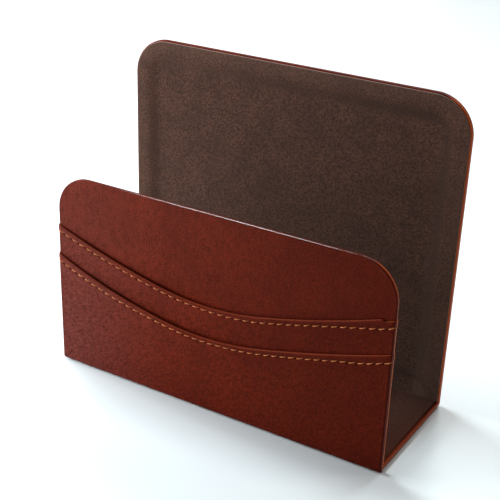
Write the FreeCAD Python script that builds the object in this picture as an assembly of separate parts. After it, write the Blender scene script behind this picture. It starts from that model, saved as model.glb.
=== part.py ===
import FreeCAD, Part
import math
import os

# Letter holder: three stiff boards joined as an open U, covered outside with one sheet of
# leather, lined inside, with two overlapping card pockets sewn on the front.
# Sizes are in millimetres. X runs along the width, the pockets face -Y and Z is up.
# The origin is the middle of the footprint, on the desk.

# Overall form
board_width = 178.0
overall_depth = 69.0
back_height = 155.0
front_height = 102.0
corner_radius = 18.5

# Boards and the glued finger joints between them. The low front panel is of thinner board.
board_thickness = 1.5
front_board_thickness = 0.8
finger_count = 9
finger_clearance = 0.1

# Outer cover: leather, turned in over every edge of the boards
cover_leather = 0.6
turn_in = 7.5
edge_round = 0.5
foot_round = 1.5

# Lining sheets, laid over the turned-in leather and stopped short of the edges
lining_thickness = 0.5
lining_inset = 0.6

# Pad under the base
pad_thickness = 0.5
pad_inset = 2.0
pad_corner = 4.0

# Card pockets: thin leather whose mouth is folded back once as a hem. The folded layer is pared
# thinner than the sheet, and holds the sheet off the face behind it. The sides are pared too,
# and go round the panel's edges to flaps on its inner face.
pocket_leather = 0.35
hem_turn = 0.25
hem_depth = 6.0
side_flap = 6.0
side_pared = 0.2
foot_flap = 12.0
foot_flap_pared = 0.2
foot_flap_inset = 3.0

# Curve of both pocket mouths: a tighter arc in the middle, flatter arcs out to the sides
mouth_middle_radius = 130.0
mouth_middle_half = 27.0
mouth_side_radius = 500.0
upper_mouth_height = 56.4
lower_mouth_height = 40.1

# Stitches along the hems
seam_drop = 2.5
seam_end = 1.8
upper_stitch_pitch = 4.55
lower_stitch_pitch = 4.35
stitch_length = 2.8
stitch_width = 0.5
stitch_rise = 0.35

# Faces of the layers, from the desk up
cover_bottom = pad_thickness
base_board_bottom = cover_bottom + cover_leather
base_board_top = base_board_bottom + board_thickness
base_margin = base_board_top + cover_leather

# Faces of the layers of the back panel, from the outside in
back_face = overall_depth / 2
back_board_outer = back_face - cover_leather
back_board_inner = back_board_outer - board_thickness
back_margin = back_board_inner - cover_leather

# Faces of the layers of the front panel, from the outside in
pocket_layer = hem_turn + pocket_leather
lower_pocket_face = stitch_rise - overall_depth / 2
upper_pocket_face = lower_pocket_face + pocket_layer
facing_face = upper_pocket_face + pocket_layer
front_board_outer = facing_face + cover_leather
front_board_inner = front_board_outer + front_board_thickness
front_margin = front_board_inner + cover_leather

cover_half = board_width / 2 + cover_leather
margin_build = cover_leather + lining_thickness

# How far cutting shapes run past what they cut
past = 5.0


def box(x_range, y_range, z_range):
    corner = FreeCAD.Vector(x_range[0], y_range[0], z_range[0])
    return Part.makeBox(
        x_range[1] - x_range[0], y_range[1] - y_range[0], z_range[1] - z_range[0], corner
    )


def across(half):
    """The range of X that is symmetrical about the middle."""
    return (-half, half)


def panel(half, z_range, radius, y_range):
    """Upright slab across the holder, with its two top corners rounded."""
    bottom, top = z_range
    y = y_range[0]
    diagonal = radius * (1 - math.sqrt(0.5))
    left_foot = FreeCAD.Vector(-half, y, bottom)
    left_side = FreeCAD.Vector(-half, y, top - radius)
    left_corner = FreeCAD.Vector(diagonal - half, y, top - diagonal)
    left_top = FreeCAD.Vector(radius - half, y, top)
    right_top = FreeCAD.Vector(half - radius, y, top)
    right_corner = FreeCAD.Vector(half - diagonal, y, top - diagonal)
    right_side = FreeCAD.Vector(half, y, top - radius)
    right_foot = FreeCAD.Vector(half, y, bottom)
    outline = Part.Wire(
        [
            Part.makeLine(left_foot, left_side),
            Part.Arc(left_side, left_corner, left_top).toShape(),
            Part.makeLine(left_top, right_top),
            Part.Arc(right_top, right_corner, right_side).toShape(),
            Part.makeLine(right_side, right_foot),
            Part.makeLine(right_foot, left_foot),
        ]
    )
    return Part.Face(outline).extrude(FreeCAD.Vector(0, y_range[1] - y, 0))


def inner_radius(inset):
    """Radius of an outline that lies inset from the wrapped panels' rounded corners."""
    return max(corner_radius - inset, 1.0)


def rounded_edges(shape, radius, chosen):
    """The shape with a rounding on the edges that the test picks."""
    return shape.makeFillet(radius, [edge for edge in shape.Edges if chosen(edge)])


def same(a, b):
    return abs(a - b) < 1e-4


def lies_at(edge, axis, value):
    """Whether the whole edge lies where this coordinate has this value."""
    limits = edge.BoundBox
    low = getattr(limits, axis + "Min")
    high = getattr(limits, axis + "Max")
    return same(low, value) and same(high, value)


def upright(edge):
    """Whether the edge rises at all, as the corners of a flat block do."""
    return not same(edge.BoundBox.ZMin, edge.BoundBox.ZMax)


# Boards


def base_finger_ranges(clearance):
    """X ranges of the base's fingers, which take every second place along the joint."""
    pitch = board_width / finger_count
    ranges = []
    for i in range(1, finger_count, 2):
        left = -board_width / 2 + i * pitch
        ranges.append((left + clearance, left + pitch - clearance))
    return ranges


def wall_board(height, y_range):
    """Upright board, notched along its foot for the fingers of the base."""
    board = panel(
        board_width / 2,
        (base_board_bottom, height - cover_leather),
        inner_radius(cover_leather),
        y_range,
    )
    through = (y_range[0] - past, y_range[1] + past)
    foot = (base_board_bottom - past, base_board_top)
    notches = [box(x_range, through, foot) for x_range in base_finger_ranges(0.0)]
    return board.cut(notches)


def base_board():
    """Board between the walls, whose fingers fill the notches in their feet."""
    board = box(
        across(board_width / 2),
        (front_board_inner, back_board_inner),
        (base_board_bottom, base_board_top),
    )
    fingers = [
        box(x_range, (front_board_outer, back_board_outer), (base_board_bottom, base_board_top))
        for x_range in base_finger_ranges(finger_clearance)
    ]
    return board.multiFuse(fingers).removeSplitter()


# Outer cover


def wrapped_form():
    """The boards with the leather round them: an open U with softly rounded edges."""
    back = panel(cover_half, (cover_bottom, back_height), corner_radius, (back_margin, back_face))
    front = panel(
        cover_half, (cover_bottom, front_height), corner_radius, (facing_face, front_margin)
    )
    base = box(across(cover_half), (facing_face, back_face), (cover_bottom, base_margin))
    form = back.multiFuse([front, base]).removeSplitter()

    def long_foot(edge):
        at_face = lies_at(edge, "Y", facing_face) or lies_at(edge, "Y", back_face)
        return at_face and lies_at(edge, "Z", cover_bottom)

    form = rounded_edges(form, foot_round, long_foot)
    wall_faces = (facing_face, front_margin, back_margin, back_face)

    def arris(edge):
        along_depth = lies_at(edge, "X", cover_half) or lies_at(edge, "X", -cover_half)
        on_wall = any(lies_at(edge, "Y", y) for y in wall_faces)
        inner_corner = on_wall and lies_at(edge, "Z", base_margin)
        foot_line = edge.BoundBox.ZMax < cover_bottom + foot_round + 0.01 and not along_depth
        return (along_depth or on_wall) and not inner_corner and not foot_line

    return rounded_edges(form, edge_round, arris)


def board_space():
    """What the three boards fill inside the cover."""
    half = board_width / 2
    radius = inner_radius(cover_leather)
    back = panel(
        half,
        (base_board_bottom, back_height - cover_leather),
        radius,
        (back_board_inner, back_board_outer),
    )
    front = panel(
        half,
        (base_board_bottom, front_height - cover_leather),
        radius,
        (front_board_outer, front_board_inner),
    )
    base = box(
        across(half), (front_board_outer, back_board_outer), (base_board_bottom, base_board_top)
    )
    return [back, front, base]


def border_window():
    """The space over the boards' inner faces that the turned-in border leaves open."""
    half = cover_half - turn_in
    radius = inner_radius(turn_in)
    back = panel(
        half,
        (base_board_top, back_height - turn_in),
        radius,
        (back_board_inner - margin_build - past, back_board_inner),
    )
    front = panel(
        half,
        (base_board_top, front_height - turn_in),
        radius,
        (front_board_inner, front_board_inner + margin_build + past),
    )
    base = box(
        across(half),
        (front_board_inner, back_board_inner),
        (base_board_top, base_board_top + margin_build + past),
    )
    return [back, front, base]


def outer_cover():
    """One sheet of leather round the outside, turned in as a border on the inner faces."""
    return wrapped_form().cut(board_space() + border_window())


# Linings


def wall_lining(height, board_face, inward):
    """Lining sheet of a wall: over the turned-in border, then stepping down on to the board."""
    reach = sorted((board_face, board_face + inward * margin_build))
    sheet = panel(
        cover_half - lining_inset,
        (base_board_top, height - lining_inset),
        inner_radius(lining_inset),
        reach,
    )
    step = turn_in + lining_thickness
    sunk = sorted(
        (board_face + inward * lining_thickness, board_face + inward * (margin_build + past))
    )
    middle = panel(
        cover_half - step, (base_board_top - past, height - step), inner_radius(step), sunk
    )
    return sheet.cut(middle)


def front_lining(neighbours):
    """The front wall's lining, which also rises over the pockets' side flaps."""
    sheet = wall_lining(front_height, front_board_inner, 1)
    inner_end = cover_half - side_flap - lining_thickness
    outer_end = cover_half - lining_inset
    rises = []
    for flaps, mouth_height in ((1, upper_mouth_height), (2, lower_mouth_height)):
        depth = (front_board_inner, front_board_inner + margin_build + flaps * side_pared)
        height = (base_board_top, front_height)
        sides = box((inner_end, outer_end), depth, height).fuse(
            box((-outer_end, -inner_end), depth, height)
        )
        rises.append(sides.common(below_mouth(mouth_height, -lining_thickness, depth)))
    return sheet.multiFuse(rises).removeSplitter().cut(neighbours)


def base_lining(neighbours):
    """Lining sheet of the base, between the wall linings and over the turned-in leather."""
    sheet = box(
        across(cover_half - lining_inset),
        (front_board_inner, back_board_inner),
        (base_board_top, base_board_top + margin_build),
    )
    middle = box(
        across(cover_half - turn_in - lining_thickness),
        (front_board_inner, back_board_inner),
        (base_board_top + lining_thickness, base_board_top + margin_build + past),
    )
    return sheet.cut([middle] + neighbours)


# Card pockets


def mouth_curve(middle_height, drop, end_half):
    """Curve of a pocket mouth in X and Z, or a parallel one that lies drop below it."""
    lean = math.asin(mouth_middle_half / mouth_middle_radius)
    middle_radius = mouth_middle_radius + drop
    side_radius = mouth_side_radius + drop
    middle_centre = middle_height + mouth_middle_radius
    apart = mouth_side_radius - mouth_middle_radius
    side_centre_x = -apart * math.sin(lean)
    side_centre_z = middle_centre + apart * math.cos(lean)
    end_lean = math.asin((end_half - side_centre_x) / side_radius)

    def on_middle(angle):
        return (middle_radius * math.sin(angle), middle_centre - middle_radius * math.cos(angle))

    def on_side(angle):
        x = side_centre_x + side_radius * math.sin(angle)
        return (x, side_centre_z - side_radius * math.cos(angle))

    def arc(points):
        return Part.Arc(*[FreeCAD.Vector(x, 0, z) for x, z in points]).toShape()

    half_way = (lean + end_lean) / 2
    right = [on_side(lean), on_side(half_way), on_side(end_lean)]
    left = [(-x, z) for x, z in reversed(right)]
    middle = [on_middle(-lean), on_middle(0.0), on_middle(lean)]
    return Part.Wire([arc(left), arc(middle), arc(right)])


def below_mouth(middle_height, drop, y_range):
    """Everything below the mouth curve, as a block that runs past both sides."""
    end_half = cover_half + past
    curve = mouth_curve(middle_height, drop, end_half)
    left = curve.Vertexes[0].Point
    right = curve.Vertexes[-1].Point
    floor = cover_bottom - past
    left_foot = FreeCAD.Vector(left.x, 0, floor)
    right_foot = FreeCAD.Vector(right.x, 0, floor)
    closing = [
        Part.makeLine(right, right_foot),
        Part.makeLine(right_foot, left_foot),
        Part.makeLine(left_foot, left),
    ]
    block = Part.Face(Part.Wire(curve.Edges + closing)).extrude(
        FreeCAD.Vector(0, y_range[1] - y_range[0], 0)
    )
    block.translate(FreeCAD.Vector(0, y_range[0], 0))
    return block


def sleeve(half, y_range, z_range, side_radius, foot_radius):
    """Block round the front panel: rounded in plan, and along its lower front edge."""

    def lower_front(edge):
        return lies_at(edge, "Y", y_range[0]) and lies_at(edge, "Z", z_range[0])

    plan = rounded_edges(box(across(half), y_range, z_range), side_radius, upright)
    profile = box(across(half + past), (y_range[0], y_range[1] + past), z_range)
    return plan.common(rounded_edges(profile, foot_radius, lower_front))


def pocket(mouth_height, face_behind, wraps_below, foot_range):
    """Pocket sheet with its hem, and side flaps turned round the panel to its inner face."""
    top = front_height
    inner_half = cover_half + wraps_below * side_pared
    inner_front = face_behind - hem_turn
    inner_back = front_margin + wraps_below * side_pared
    bend = edge_round + wraps_below * side_pared
    outside = sleeve(
        inner_half + side_pared,
        (inner_front - pocket_leather, inner_back + side_pared),
        (foot_range[0], top),
        bend + side_pared,
        foot_round + pocket_leather,
    )
    inside = sleeve(
        inner_half, (inner_front, inner_back), (foot_range[1], top + past), bend, foot_round
    )
    window = box(
        across(cover_half - side_flap),
        (front_board_inner, inner_back + past),
        (foot_range[0] - past, top + past),
    )
    beside_base = box(
        across(cover_half + past),
        (front_margin - edge_round, inner_back + past),
        (foot_range[0] - past, base_margin),
    )
    sheet = outside.cut([inside, window, beside_base])
    depth = (face_behind - past, inner_back + past)
    sheet = sheet.common(below_mouth(mouth_height, 0.0, depth))
    fold = box(
        across(cover_half - edge_round), (inner_front, face_behind), (cover_bottom, front_height)
    )
    fold = fold.common(below_mouth(mouth_height, 0.0, depth))
    fold = fold.cut(below_mouth(mouth_height, hem_depth, depth))
    return sheet.fuse(fold).removeSplitter()


def upper_pocket():
    """Ends above the rounded foot of the cover, held there by the lower pocket."""
    foot = cover_bottom + foot_round
    sheet = pocket(upper_mouth_height, facing_face, 0, (foot - past, foot - past))
    below_foot = (foot - 2 * past, foot)
    return sheet.cut(box(across(cover_half + past), (-overall_depth, overall_depth), below_foot))


def lower_pocket():
    """Goes round the foot of the panel, to a pared flap that is glued under the base."""
    flap_bottom = cover_bottom - foot_flap_pared
    sheet = pocket(lower_mouth_height, upper_pocket_face, 1, (flap_bottom, cover_bottom))
    flap_end = lower_pocket_face + foot_flap
    flap_half = cover_half - foot_flap_inset
    under = (flap_bottom - past, cover_bottom)
    depth = (lower_pocket_face - past, overall_depth)
    return sheet.cut(
        [
            box(across(cover_half + past), (flap_end, overall_depth), under),
            box((flap_half, cover_half + past), depth, under),
            box((-cover_half - past, -flap_half), depth, under),
        ]
    )


# Stitches


def stitch():
    """One stitch at the origin: flat on the leather, arched along the seam, lying along X."""
    start = FreeCAD.Vector(-stitch_length / 2, 0, -stitch_width / 2)
    crown = FreeCAD.Vector(0, -stitch_rise, -stitch_width / 2)
    end = FreeCAD.Vector(stitch_length / 2, 0, -stitch_width / 2)
    side = Part.Wire([Part.Arc(start, crown, end).toShape(), Part.makeLine(end, start)])
    return Part.Face(side).extrude(FreeCAD.Vector(0, 0, stitch_width))


def stitch_row(mouth_height, face, pitch):
    """Stitches evenly spaced along a curve that lies seam_drop below a pocket's mouth."""
    seam = mouth_curve(mouth_height, seam_drop, cover_half - seam_end)
    count = round(seam.Length / pitch)
    points = seam.discretize(Number=2 * count + 1)
    stitches = []
    for i in range(count):
        before, middle, after = points[2 * i : 2 * i + 3]
        slope = math.degrees(math.atan2(after.z - before.z, after.x - before.x))
        one = stitch()
        one.rotate(FreeCAD.Vector(0, 0, 0), FreeCAD.Vector(0, -1, 0), slope)
        one.translate(FreeCAD.Vector(middle.x, face, middle.z))
        stitches.append(one)
    return Part.makeCompound(stitches)


# Pad


def base_pad(pocket_sheet):
    """Thin pad glued under the base, over the lower pocket's flap."""
    pad = box(
        across(cover_half - pad_inset),
        (facing_face + pad_inset, back_face - pad_inset),
        (0.0, pad_thickness),
    )
    return rounded_edges(pad, pad_corner, upright).cut(pocket_sheet)


def build():
    """Every piece by the name of its node."""
    cover = outer_cover()
    upper_sheet = upper_pocket()
    lower_sheet = lower_pocket()
    leather = [cover, upper_sheet, lower_sheet]
    back_sheet = wall_lining(back_height, back_board_inner, -1).cut(cover)
    front_sheet = front_lining(leather)
    return {
        "back_board": wall_board(back_height, (back_board_inner, back_board_outer)),
        "base_board": base_board(),
        "front_board": wall_board(front_height, (front_board_outer, front_board_inner)),
        "outer_cover": cover,
        "upper_pocket": upper_sheet,
        "lower_pocket": lower_sheet,
        "upper_stitching": stitch_row(upper_mouth_height, upper_pocket_face, upper_stitch_pitch),
        "lower_stitching": stitch_row(lower_mouth_height, lower_pocket_face, lower_stitch_pitch),
        "back_lining": back_sheet,
        "base_lining": base_lining(leather + [back_sheet, front_sheet]),
        "front_lining": front_sheet,
        "base_pad": base_pad(lower_sheet),
    }


os.makedirs("parts", exist_ok=True)
for name, shape in build().items():
    shape.exportStep(f"parts/{name}.step")
    limits = shape.BoundBox
    print(
        f"{name}: {len(shape.Solids)} solids, {shape.Volume:.1f} mm3, valid {shape.isValid()}, "
        f"x {limits.XMin:.2f} to {limits.XMax:.2f}, y {limits.YMin:.2f} to {limits.YMax:.2f}, "
        f"z {limits.ZMin:.2f} to {limits.ZMax:.2f}"
    )
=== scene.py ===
# %% [markdown]
# # A leather letter holder
#
# The real object is a desk rack for letters: a tall back panel, a low front panel and a base between them,
# open at both ends. Three stiff boards carry it. One sheet of red-brown leather goes round the outside and
# is turned in over every edge, and a brown suede sheet lines the inside. Two card pockets of thinner
# leather lie on the front, with curved mouths that are folded back and sewn with tan thread.
#
# This lesson dresses a measured CAD model. The CAD parts fix every size and place, and Blender adds what a
# hand feels: soft edges, puffed hems, sunken stitches, grain and nap. Each piece is built in millimetres,
# because leather goods are thought of that way, and is turned into metres when its mesh is made.

# %% Load the measured model
import math

import bmesh
import bpy
import numpy as np
from mathutils import Matrix, Vector


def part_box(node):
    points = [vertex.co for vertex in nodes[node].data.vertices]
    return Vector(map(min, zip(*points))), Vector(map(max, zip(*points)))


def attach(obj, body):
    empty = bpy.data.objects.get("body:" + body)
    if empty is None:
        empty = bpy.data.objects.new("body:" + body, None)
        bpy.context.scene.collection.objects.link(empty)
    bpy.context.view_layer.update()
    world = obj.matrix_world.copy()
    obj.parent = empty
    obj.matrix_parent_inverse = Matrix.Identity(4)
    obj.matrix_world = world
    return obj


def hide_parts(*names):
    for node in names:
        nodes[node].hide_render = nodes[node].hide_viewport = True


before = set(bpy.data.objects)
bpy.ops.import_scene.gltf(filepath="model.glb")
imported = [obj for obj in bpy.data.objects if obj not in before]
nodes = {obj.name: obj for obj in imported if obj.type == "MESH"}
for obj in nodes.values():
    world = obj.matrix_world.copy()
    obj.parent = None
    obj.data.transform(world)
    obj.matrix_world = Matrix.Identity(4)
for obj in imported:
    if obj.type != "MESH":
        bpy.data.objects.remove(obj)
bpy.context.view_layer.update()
print("CAD parts:", ", ".join(sorted(nodes)))

# %% [markdown]
# ## Reading sizes from the model
#
# A number that the CAD model already holds is read from it, not typed again. The boxes of its parts give
# the planes of every layer, and the few numbers that a box can't tell, such as a corner's radius, are
# named here. If the model changes, the looks follow it.

# %% Sizes in millimetres
MM = 0.001


def box_mm(node):
    """Lowest and highest corner of a CAD part, in millimetres."""
    low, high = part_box(node)
    return low / MM, high / MM


cover_low, cover_high = box_mm("outer_cover")
front_board_low, front_board_high = box_mm("front_board")
back_board_low, back_board_high = box_mm("back_board")
_, base_board_high = box_mm("base_board")

leather = front_board_low.y - cover_low.y
back_wall = back_board_high.y - back_board_low.y + 2 * leather
front_wall = front_board_high.y - front_board_low.y + 2 * leather
cover_half = cover_high.x
front_height = front_board_high.z + leather
back_height = cover_high.z

corner_radius = 18.5
foot_radius = 1.5
edge_radius = 0.5
turn_in = 7.5
print(f"front panel {front_height:.1f} mm high and {front_wall:.1f} mm thick")
print(f"back panel {back_height:.1f} mm high and {back_wall:.1f} mm thick")

# %% [markdown]
# ## Camera
#
# The camera comes first, because every later choice is judged through it. Its place was found by fitting
# the holder's straight edges to the photograph: a short telephoto view from the right and above, with the
# camera tilted by under two degrees. The small shift stands for the way that the picture was cropped.

# %% Place the camera


def add_object(name, data):
    """A new object in the scene, at the origin."""
    thing = bpy.data.objects.new(name, data)
    bpy.context.scene.collection.objects.link(thing)
    return thing


camera_aim = Vector((-9.59, -12.91, 54.17)) * MM
camera_distance = 539.8 * MM
camera_azimuth = math.radians(32.12)
camera_elevation = math.radians(26.96)
camera_roll = math.radians(1.29)
focal_length = 81.55
shift_right = 0.0627
shift_up = 0.0797

level_reach = math.cos(camera_elevation)
sideways = math.sin(camera_azimuth) * level_reach
forwards = -math.cos(camera_azimuth) * level_reach
away = Vector((sideways, forwards, math.sin(camera_elevation)))
level_right = Vector((0, 0, 1)).cross(away).normalized()
level_up = away.cross(level_right)
right = math.cos(camera_roll) * level_right + math.sin(camera_roll) * level_up
up = away.cross(right)

camera_data = bpy.data.cameras.new("photo_view")
camera_data.lens = focal_length
camera_data.sensor_width = 36.0
camera_data.shift_x = shift_right
camera_data.shift_y = shift_up
camera = add_object("photo_view", camera_data)
turn = Matrix((right, up, away)).transposed().to_4x4()
camera.matrix_world = Matrix.Translation(camera_aim + away * camera_distance) @ turn
bpy.context.scene.camera = camera
print("camera at", [round(c / MM) for c in camera.location], "mm")

# %% [markdown]
# ## Small helpers
#
# Colours are noted the way a colour picker shows them, as three numbers up to 255, and turned into the
# linear values that shaders use. Node trees are long to write by hand, so one helper adds a node, makes its
# settings, and sets or links its sockets, which it finds by identifier because several share a name.

# %% Colour and node helpers


def picked(red, green, blue):
    """A picked screen colour as a linear colour with full alpha."""

    def linear(value):
        share = value / 255
        return share / 12.92 if share <= 0.04045 else ((share + 0.055) / 1.055) ** 2.4

    return (linear(red), linear(green), linear(blue), 1.0)


def add_node(tree, kind, inputs=None, **settings):
    """A new node with its settings made and its sockets set or linked."""
    node = tree.nodes.new(kind)
    for name, value in settings.items():
        setattr(node, name, value)
    for identifier, value in (inputs or {}).items():
        socket = next(s for s in node.inputs if s.identifier == identifier)
        if isinstance(value, bpy.types.NodeSocket):
            tree.links.new(value, socket)
        else:
            socket.default_value = value
    return node


def output(node, identifier):
    """A node's output socket by its identifier."""
    return next(s for s in node.outputs if s.identifier == identifier)


def maths(tree, operation, first, second=0.0):
    """The result of one sum on two values or sockets."""
    node = add_node(tree, "ShaderNodeMath", {"Value": first, "Value_001": second}, operation=operation)
    return node.outputs[0]


def vector(tree, **parts):
    """A vector put together from its parts X, Y and Z."""
    return add_node(tree, "ShaderNodeCombineXYZ", parts).outputs[0]


def blend_colours(tree, share, first, second):
    """Two colours mixed by a share from 0 to 1."""
    inputs = {"Factor_Float": share, "A_Color": first, "B_Color": second}
    return output(add_node(tree, "ShaderNodeMix", inputs, data_type="RGBA"), "Result_Color")


def spread(tree, value, low, high, to_low=0.0, to_high=1.0):
    """A value stretched from one range to another, smooth at both ends."""
    inputs = {"Value": value, "From Min": low, "From Max": high, "To Min": to_low, "To Max": to_high}
    return add_node(tree, "ShaderNodeMapRange", inputs, interpolation_type="SMOOTHSTEP").outputs[0]


def place_mm(tree, stretch=(1.0, 1.0, 1.0), turned=(0.0, 0.0, 0.0)):
    """The object's own coordinates in millimetres. A pattern on them is turned, and stretched this much."""
    where = add_node(tree, "ShaderNodeTexCoord").outputs["Object"]
    scale = [factor * MM for factor in stretch]
    inputs = {"Vector": where, "Rotation": turned, "Scale": scale}
    return add_node(tree, "ShaderNodeMapping", inputs, vector_type="TEXTURE").outputs[0]


def noise(tree, where, size, detail=3.0, roughness=0.5, distortion=0.0):
    """Cloudy noise whose patches are about size millimetres wide."""
    look = {"Detail": detail, "Roughness": roughness, "Distortion": distortion}
    return add_node(tree, "ShaderNodeTexNoise", {"Vector": where, "Scale": 1 / size, **look}).outputs[0]


def new_material(name, finish):
    """An empty material with a Principled surface, and that surface."""
    material = bpy.data.materials.new(name)
    material.use_nodes = True
    tree = material.node_tree
    tree.nodes.clear()
    surface = add_node(tree, "ShaderNodeBsdfPrincipled", finish)
    add_node(tree, "ShaderNodeOutputMaterial", {"Surface": surface.outputs[0]})
    return material, tree, surface


def layered(tree, colour, layers):
    """A colour with others laid over it, each a picked colour with the share that it covers."""
    for share, over in layers:
        colour = blend_colours(tree, share, colour, picked(*over))
    return colour


def dress_surface(tree, surface, colour, height=None, strength=1.0):
    """Give a surface its colour, and a height in millimetres as its bump."""
    tree.links.new(colour, surface.inputs["Base Color"])
    if height is not None:
        bump = {"Height": height, "Distance": MM, "Strength": strength}
        tree.links.new(add_node(tree, "ShaderNodeBump", bump).outputs[0], surface.inputs["Normal"])


# %% [markdown]
# ## Leather
#
# Finished leather is a deep colour with a low, warm gloss. What makes it read as leather and not as paint
# is small: a pebble grain with tiny pores, and clouds where the dye took differently. On top of that some
# light is painted into the colour: a pale line along each pocket's fold, a warm glow on the edges at the
# right, and a pale glint on the front's rear arris there, where light from the right catches them. An
# attribute on each mesh says where: over 0 is that painted light, and under 0 is wax, which gives the
# front's top edge its shine. Painted light also lifts the lower left, where a low window grazes the front,
# and painted shade darkens the right. The grain could be displaced geometry, but its cells are under a
# millimetre, so a bump does it. The cells are drawn out along one direction, as skin is, and that direction
# differs from piece to piece.

# %% Leather material
grain_cell = 0.8


def leather_finish(name, grain_turn, crease_strength):
    """Red-brown leather whose grain runs at this angle, in radians, to the upright."""
    gloss = {"Specular IOR Level": 0.09, "Specular Tint": picked(255, 175, 125)}
    wax = {"Coat Roughness": 0.12, "Coat IOR": 1.8}
    material, tree, surface = new_material(name, {**gloss, **wax})
    where = place_mm(tree)
    along = place_mm(tree, stretch=(1.0, 1.0, 1.7), turned=(0.0, grain_turn, 0.0))
    clouds = noise(tree, where, 26.0, detail=2.0)
    mottle = noise(tree, along, 2.0, detail=4.0, roughness=0.65)
    pores = noise(tree, where, 0.75, roughness=0.75)
    marks_and_painted_light = add_node(tree, "ShaderNodeAttribute", attribute_name="edge").outputs["Fac"]
    across, _, upward = add_node(tree, "ShaderNodeSeparateXYZ", {"Vector": where}).outputs

    # Painted light towards the lower left, where a low window grazes the front, and painted shade towards
    # the right.
    to_left = spread(tree, across, -95.0, -15.0, 0.9, 0.0)
    painted_light_left = maths(tree, "MULTIPLY", to_left, spread(tree, upward, 20.0, 100.0, 1.0, 0.1))
    painted_shade_right = spread(tree, across, -30.0, 95.0, 0.0, 0.6)
    mottled = spread(tree, mottle, 0.4, 0.7, 0.0, 0.6)
    pitted = spread(tree, pores, 0.42, 0.64, 0.0, 0.75)
    # Painted light where the edge mark is over 0: along the folds and on the edges at the right, with a
    # pale painted glint near 2.
    painted_edge_light = spread(tree, marks_and_painted_light, 0.25, 1.0, 0.0, 0.9)
    painted_glint = spread(tree, marks_and_painted_light, 1.0, 2.0)
    colouring = [(painted_light_left, (111, 50, 43)), (painted_shade_right, (76, 14, 4)), (mottled, (78, 15, 6)), (pitted, (46, 8, 3))]
    painted_light = [(painted_edge_light, (196, 88, 44)), (painted_glint, (228, 122, 68))]
    body = blend_colours(tree, spread(tree, clouds, 0.3, 0.7), picked(101, 24, 8), picked(114, 30, 10))
    body = layered(tree, body, colouring + painted_light)

    matt = spread(tree, mottle, 0.3, 0.8, 0.54, 0.64)
    tree.links.new(matt, surface.inputs["Roughness"])
    waxed = spread(tree, maths(tree, "MULTIPLY", marks_and_painted_light, -1.0), 0.1, 1.0)
    tree.links.new(waxed, surface.inputs["Coat Weight"])

    grain = {"Vector": along, "Scale": 1 / grain_cell}
    cells = add_node(tree, "ShaderNodeTexVoronoi", grain, feature="DISTANCE_TO_EDGE").outputs["Distance"]
    pebbles = spread(tree, cells, 0.0, 0.32)
    folds = noise(tree, along, 5.5, detail=4.0, roughness=0.55, distortion=0.8)
    creases = spread(tree, maths(tree, "ABSOLUTE", maths(tree, "SUBTRACT", folds, 0.5)), 0.0, 0.05)
    height = 0.0
    for relief, amount in ((pebbles, 0.035), (pores, -0.03), (creases, crease_strength)):
        height = maths(tree, "ADD", height, maths(tree, "MULTIPLY", relief, amount))
    unmarked = spread(tree, maths(tree, "ABSOLUTE", marks_and_painted_light), 0.0, 0.2, 1.0, 0.2)
    dress_surface(tree, surface, body, maths(tree, "MULTIPLY", height, unmarked))
    return material


cover_leather = leather_finish("cover_leather", 0.0, 0.0)
pocket_leather = leather_finish("pocket_leather", math.radians(55), 0.03)
print("leather:", cover_leather.name, pocket_leather.name)

# %% [markdown]
# ## Suede, thread, board and felt
#
# Suede is a brushed sheet: short fibres scatter light, so it has no gloss, a faint glow at grazing angles,
# and light and dark flecks where the nap lies one way or the other. Sheen gives the glow, and two sizes of
# noise give the flecks and the strokes. The same attribute as on leather marks where the nap is pressed,
# and so paler, where the cut edge gets a painted highlight, and, under 0, where painted shade lies in the
# hollow beside a border. The base has a darker, redder copy of the suede, which paints in the shade that
# the walls throw on it. Thread is waxed and slightly glossy. The fibreboard is hidden in the finished rack,
# but each board still looks like pressed fibre. The felt under the base is darker and has a coarser fibre.

# %% Suede, thread, board and felt materials


def napped_finish(name, dark, light, fleck_size, glow):
    """A brushed sheet between two picked colours, with flecks of this size in millimetres."""
    sheen = {"Sheen Weight": glow, "Sheen Roughness": 0.6, "Sheen Tint": picked(215, 195, 185)}
    material, tree, surface = new_material(name, {"Roughness": 0.95, "Specular IOR Level": 0.02, **sheen})
    where = place_mm(tree)
    strokes = noise(tree, where, 14.0, roughness=0.6)
    flecks = noise(tree, where, fleck_size, detail=4.0, roughness=0.85)
    edge = add_node(tree, "ShaderNodeAttribute", attribute_name="edge").outputs["Fac"]
    stroked = spread(tree, strokes, 0.35, 0.7, 0.0, 0.35)
    # Pressed nap is paler. The cut edge gets a painted highlight, and under 0 the hollow beside a border
    # gets painted shade.
    pressed = spread(tree, edge, 0.0, 0.6, 0.0, 0.15)
    cut = spread(tree, edge, 0.6, 1.0, 0.0, 0.8)
    painted_valley_shade = maths(tree, "MAXIMUM", maths(tree, "MULTIPLY", edge, -0.9), 0.0)
    layers = [(stroked, dark), (pressed, (128, 98, 84)), (cut, (182, 152, 142)), (painted_valley_shade, dark)]
    colour = blend_colours(tree, spread(tree, flecks, 0.38, 0.62), picked(*dark), picked(*light))
    height = maths(tree, "MULTIPLY", flecks, 0.16)
    dress_surface(tree, surface, layered(tree, colour, layers), height, 0.8)
    return material


def thread_finish():
    """Waxed tan sewing thread of lighter and darker fibres."""
    material, tree, surface = new_material("tan_thread", {"Roughness": 0.55, "Specular IOR Level": 0.25})
    fibres = spread(tree, noise(tree, place_mm(tree), 0.16, detail=2.0), 0.3, 0.7)
    dress_surface(tree, surface, blend_colours(tree, fibres, picked(180, 92, 40), picked(234, 146, 80)))
    return material


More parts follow.
